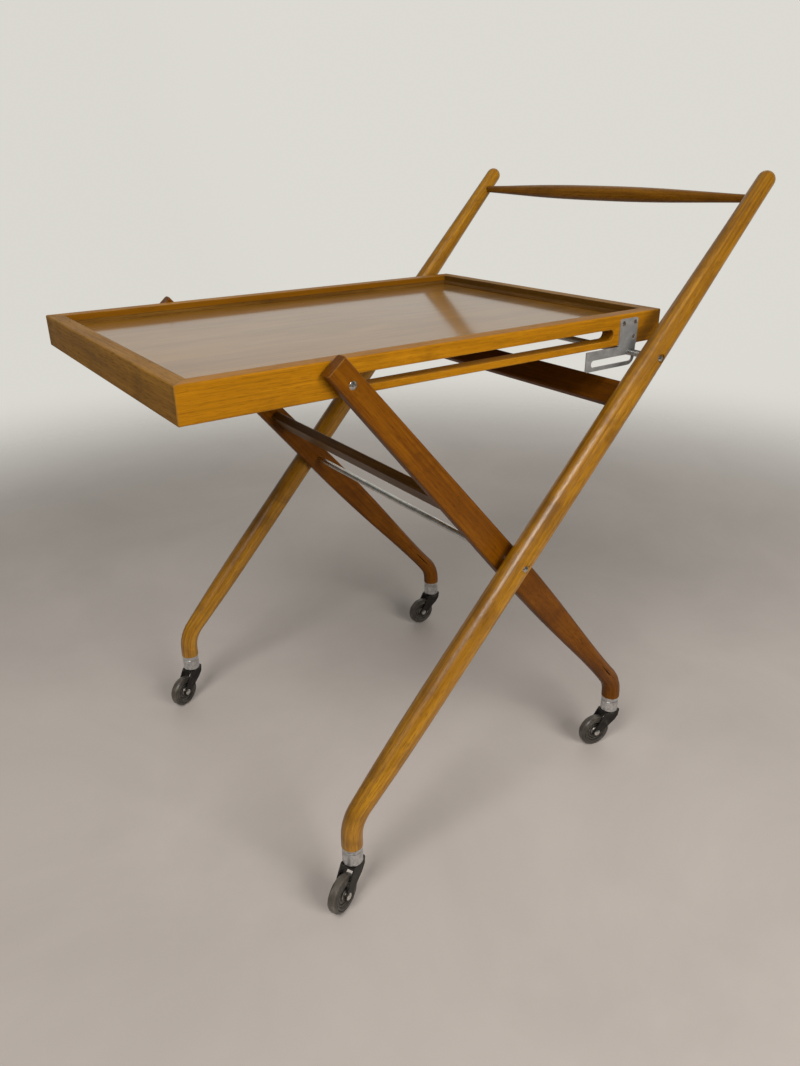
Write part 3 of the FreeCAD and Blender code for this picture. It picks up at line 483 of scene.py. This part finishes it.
# each wooden node's tone, the way its grain runs, and a shift that gives it its own stretch of grain
crossways = (0, 0, -quarter)
woodPlan = {
    "tray_rail_left": (ochre, unturned, (0.3, 0.1, 0)),
    "tray_rail_right": (ochre, unturned, (2.1, 0.4, 0.2)),
    # painted shade: the front and rear rails take a darker brown than the side rails
    "tray_rail_front": (shadedRimBrown, crossways, (4.0, 0, 1)),
    "tray_rail_rear": (shadedRimBrown, crossways, (6.5, 0, 2)),
    "bead_left": (walnut, unturned, (1, 1, 1)), "bead_right": (walnut, unturned, (2, 1, 3)),
    "bead_front": (walnut, crossways, (3, 1, 5)), "bead_rear": (walnut, crossways, (4, 1, 7)),
    "pole_left": (honey, bendOf("pole_left", limbs["poleSlope"], 1), (8, 3, 0)),
    "pole_right": (honey, bendOf("pole_right", limbs["poleSlope"], 1), (11, 5, 0)),
    # painted shade, partly: the legs' brown is darkened for the shade on them
    "leg_left": (chestnutWithShade, bendOf("leg_left", limbs["legSlope"], -1), (13, 2, 0)),
    "leg_right": (chestnutWithShade, bendOf("leg_right", limbs["legSlope"], -1), (17, 4, 0)),
    # painted shade: the handle bar and the cross board take darker tones for the shade on them
    "handle_bar": (shadedSpindle, crossways, (21, 0, 0)), "cross_board": (chestnutWithShade, crossways, (25, 3, 2)),
    "leg_cross_rail": (walnut, crossways, (29, 1, 4)),
}
# the direction into the tray for each rail, whose inner faces get painted shade
innerShadeDirections = {"tray_rail_left": (0, 1, 0), "tray_rail_right": (0, -1, 0), "tray_rail_front": (1, 0, 0),
              "tray_rail_rear": (-1, 0, 0)}
panelShift = (31, 2, 2)


def wear(node, finish):
    slots = nodes[node].data.materials
    for i in range(max(1, len(slots))):
        if i < len(nodes[node].material_slots):
            nodes[node].material_slots[i].material = finish
        else:
            slots.append(finish)


for node, (tone, run, shift) in woodPlan.items():
    wear(node, woodFinish(node + "_wood", tone, run, shift, innerShadeDirections.get(node)))
wear("tray_panel", veneerFinish("trayVeneer", veneer, panelShift))
print("wood finished")

# metal nodes go by how their names start, the longer start first
metals = {name: metalFinish(name, tone) for name, tone in (
    ("bracketZinc", zinc), ("rodSteel", polished), ("screwNickel", nickel), ("ferruleTin", galvanised),
    ("forkSteel", blackened), ("axleRivet", polished))}
metalPlan = {"hook_bracket": "bracketZinc", "latch_rod_screws": "screwNickel",
             "crossing_screws": "screwNickel", "bracket_screws": "screwNickel", "slot_pin": "screwNickel",
             "spacer_washers": "rodSteel", "latch_rod": "rodSteel", "crossing_rod": "rodSteel",
             "ferrule": "ferruleTin", "caster_fork": "forkSteel", "caster_axle": "axleRivet"}
for node in nodes:
    for start, metal in metalPlan.items():
        if node.startswith(start):
            wear(node, metals[metal])
            break
for name, joint in joints.items():
    if name.startswith("roll_"):
        foot = name.removeprefix("roll_")
        wear("tyre_" + foot, rubberFinish("tyreRubber_" + foot, rubber, joint))
        wear("wheel_hub_" + foot, hubFinish("hubSteel_" + foot, disc, joint))
print("metal and rubber finished")


# ferrules: drawn cups with a rolled lip, a crimped ring and a lapped seam
# each station is a height from the bottom and a radius, in millimetres, round the outside and back to the hole
# the seam's place is in degrees, and the rest of its measures are in millimetres
cup = {"stations": [(0, 11.0), (0.25, 11.9), (1.0, 12.5), (17.4, 12.5), (17.9, 12.1), (18.3, 11.95),
                    (18.9, 11.95), (19.3, 12.1), (19.8, 12.5), (22.4, 12.5), (22.8, 12.75), (23.4, 12.85),
                    (23.8, 12.7), (24.0, 12.3), (23.9, 11.7), (23.4, 11.3), (1.5, 11.3), (1.5, 4.2), (0, 4.2)],
       "hole": 4.2, "sides": 96, "weld": 0.00001, "smoothUnder": 35,
       "seamAt": 258.7, "seamHalf": 5.0, "seamRise": 1.022, "seamFrom": 0.2,
       "seamTo": 23.6, "wallPast": 11.5}
# the body that each cup rides on, and how far its seam is turned from the first one's
cups = {"ferrule_front_left": ("handle_frame", 0), "ferrule_front_right": ("handle_frame", 25),
        "ferrule_rear_left": ("leg_frame", -18), "ferrule_rear_right": ("leg_frame", 9)}


def seatOf(node):
    # middle of the node's lower end
    low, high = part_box(node)
    return Vector(((low.x + high.x) / 2, (low.y + high.y) / 2, low.z))


def makeCup(settings, node):
    seat = seatOf(node)
    bpy.ops.object.select_all(action="DESELECT")
    bpy.ops.mesh.primitive_circle_add(vertices=settings["sides"], radius=settings["hole"] / mmPerMetre,
                                      fill_type="NOTHING", location=seat)
    piece = bpy.context.active_object
    bpy.ops.object.mode_set(mode="EDIT")
    bpy.ops.mesh.select_all(action="SELECT")
    height, radius = 0, settings["hole"]
    for nextHeight, nextRadius in settings["stations"]:
        rise = (0, 0, (nextHeight - height) / mmPerMetre)
        bpy.ops.mesh.extrude_region_move(TRANSFORM_OT_translate={"value": rise})
        grow = nextRadius / radius
        bpy.ops.transform.resize(value=(grow, grow, 1))
        height, radius = nextHeight, nextRadius
    bpy.ops.mesh.select_all(action="SELECT")
    bpy.ops.mesh.remove_doubles(threshold=settings["weld"])
    bpy.ops.mesh.normals_make_consistent(inside=False)
    # the lapped seam stands a little proud of the outside
    bpy.ops.mesh.select_all(action="DESELECT")
    shape = bmesh.from_edit_mesh(piece.data)
    for point in shape.verts:
        turn = math.degrees(math.atan2(point.co.y, point.co.x)) % 360
        radius = math.hypot(point.co.x, point.co.y) * mmPerMetre
        height = point.co.z * mmPerMetre
        outside = radius > settings["wallPast"] and settings["seamFrom"] < height < settings["seamTo"]
        point.select = outside and abs(turn - settings["seamAt"]) < settings["seamHalf"]
    bmesh.update_edit_mesh(piece.data)
    bpy.ops.transform.resize(value=(settings["seamRise"], settings["seamRise"], 1), center_override=seat)
    bpy.ops.object.mode_set(mode="OBJECT")
    bpy.ops.object.transform_apply(location=True, rotation=True, scale=True)
    bpy.ops.object.shade_smooth_by_angle(angle=math.radians(settings["smoothUnder"]))
    piece.name = node.replace("ferrule", "cup")
    piece.data.materials.append(metals["ferruleTin"])
    return piece


def copyCup(first, firstNode, node, turn):
    piece = first.copy()
    piece.data = first.data.copy()
    piece.name = node.replace("ferrule", "cup")
    bpy.context.scene.collection.objects.link(piece)
    spin = Matrix.Rotation(math.radians(turn), 4, "Z")
    piece.data.transform(Matrix.Translation(seatOf(node)) @ spin @ Matrix.Translation(-seatOf(firstNode)))
    return piece


firstNode = "ferrule_front_left"
made = {firstNode: makeCup(cup, firstNode)}
for node, (body, turn) in cups.items():
    if node != firstNode:
        made[node] = copyCup(made[firstNode], firstNode, node, turn)
for node, piece in made.items():
    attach(piece, cups[node][0])
    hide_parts(node)
print("ferrules made")


# floor and light
studio = {"floor": (0.50, 0.455, 0.43), "floorShade": 0.9, "floorRadius": 9.0, "cloudScale": 2.6,
          "cloudAt": (0.35, 0.65), "floorRough": 0.5, "floorShine": 0.3, "fadeFrom": 0.95, "fadeTo": 2.6,
          "wall": (0.775, 0.76, 0.705), "wallSide": (0.72, 0.68, 0.12), "wallFrom": 0.25, "wallTo": 0.95,
          "wallGlow": 0.92, "roomGlow": 0.16, "seenGlow": 0.9, "lampColour": (1, 0.97, 0.92)}
lights = {"ceiling": {"place": (-1.5, -0.9, 2.3), "aim": (0, 0, 0.4), "size": 0.9, "watts": 36,
                      "mirrored": True},
          "nearSide": {"place": (0.2, -2.8, 1.4), "aim": (0, 0, 0.45), "size": 1.6, "watts": 78,
                       "mirrored": False}}


def makeFloor(settings):
    bpy.ops.object.select_all(action="DESELECT")
    bpy.ops.mesh.primitive_circle_add(vertices=96, radius=settings["floorRadius"], fill_type="NGON",
                                      location=(0, 0, 0))
    floor = bpy.context.active_object
    floor.name = "studioFloor"
    finish, tree, shader = newFinish("paleFloor")
    here = placedVector(tree)
    cloud = noiseNode(tree, here, settings["cloudScale"], 6.0, 0.62, 0.5)
    shade = tuple(part * settings["floorShade"] for part in settings["floor"])
    clouded = toneNode(tree, cloud, settings["cloudAt"], (shade, settings["floor"]))
    feedAll(tree, shader, {"Base Color": clouded, "Roughness": settings["floorRough"],
                           "Specular IOR Level": settings["floorShine"]})
    # the floor fades into the pale room further out
    fade = rangeNode(tree, vectorNode(tree, "LENGTH", here), "SMOOTHERSTEP", settings["fadeFrom"],
                     settings["fadeTo"])
    clear = tree.nodes.new("ShaderNodeBsdfTransparent")
    blend = tree.nodes.new("ShaderNodeMixShader")
    for socket, source in zip(blend.inputs, (fade, shader.outputs[0], clear.outputs[0])):
        feed(tree, socket, source)
    feed(tree, tree.nodes["Material Output"].inputs["Surface"], blend.outputs[0])
    floor.data.materials.append(finish)


def makeLight(name, settings):
    data = bpy.data.lights.new(name, "AREA")
    data.shape = "SQUARE"
    data.size = settings["size"]
    data.energy = settings["watts"]
    data.color = studio["lampColour"]
    lamp = bpy.data.objects.new(name, data)
    bpy.context.scene.collection.objects.link(lamp)
    lamp.visible_glossy = settings["mirrored"]
    place = Vector(settings["place"])
    turn = (place - Vector(settings["aim"])).to_track_quat("Z", "Y").to_matrix().to_4x4()
    lamp.matrix_world = Matrix.Translation(place) @ turn


def makeRoom(settings):
    # a plain pale room, brighter on the side of the wall, and never dark behind the cart
    world = bpy.data.worlds.new("paleRoom")
    world.use_nodes = True
    tree = world.node_tree
    facing = vectorNode(tree, "DOT_PRODUCT", coordinates(tree, "Generated"), settings["wallSide"])
    glow = rangeNode(tree, facing, "SMOOTHSTEP", settings["wallFrom"], settings["wallTo"],
                     settings["roomGlow"], settings["wallGlow"])
    seen = tree.nodes.new("ShaderNodeLightPath").outputs["Is Camera Ray"]
    seenGlow = mathNode(tree, "MULTIPLY", seen, settings["seenGlow"])
    feedAll(tree, tree.nodes["Background"], {"Color": settings["wall"],
                                             "Strength": mathNode(tree, "MAXIMUM", glow, seenGlow)})
    bpy.context.scene.world = world


makeFloor(studio)
for name, settings in lights.items():
    makeLight(name, settings)
makeRoom(studio)
bpy.context.scene.view_settings.view_transform = "Standard"
print("studio ready")
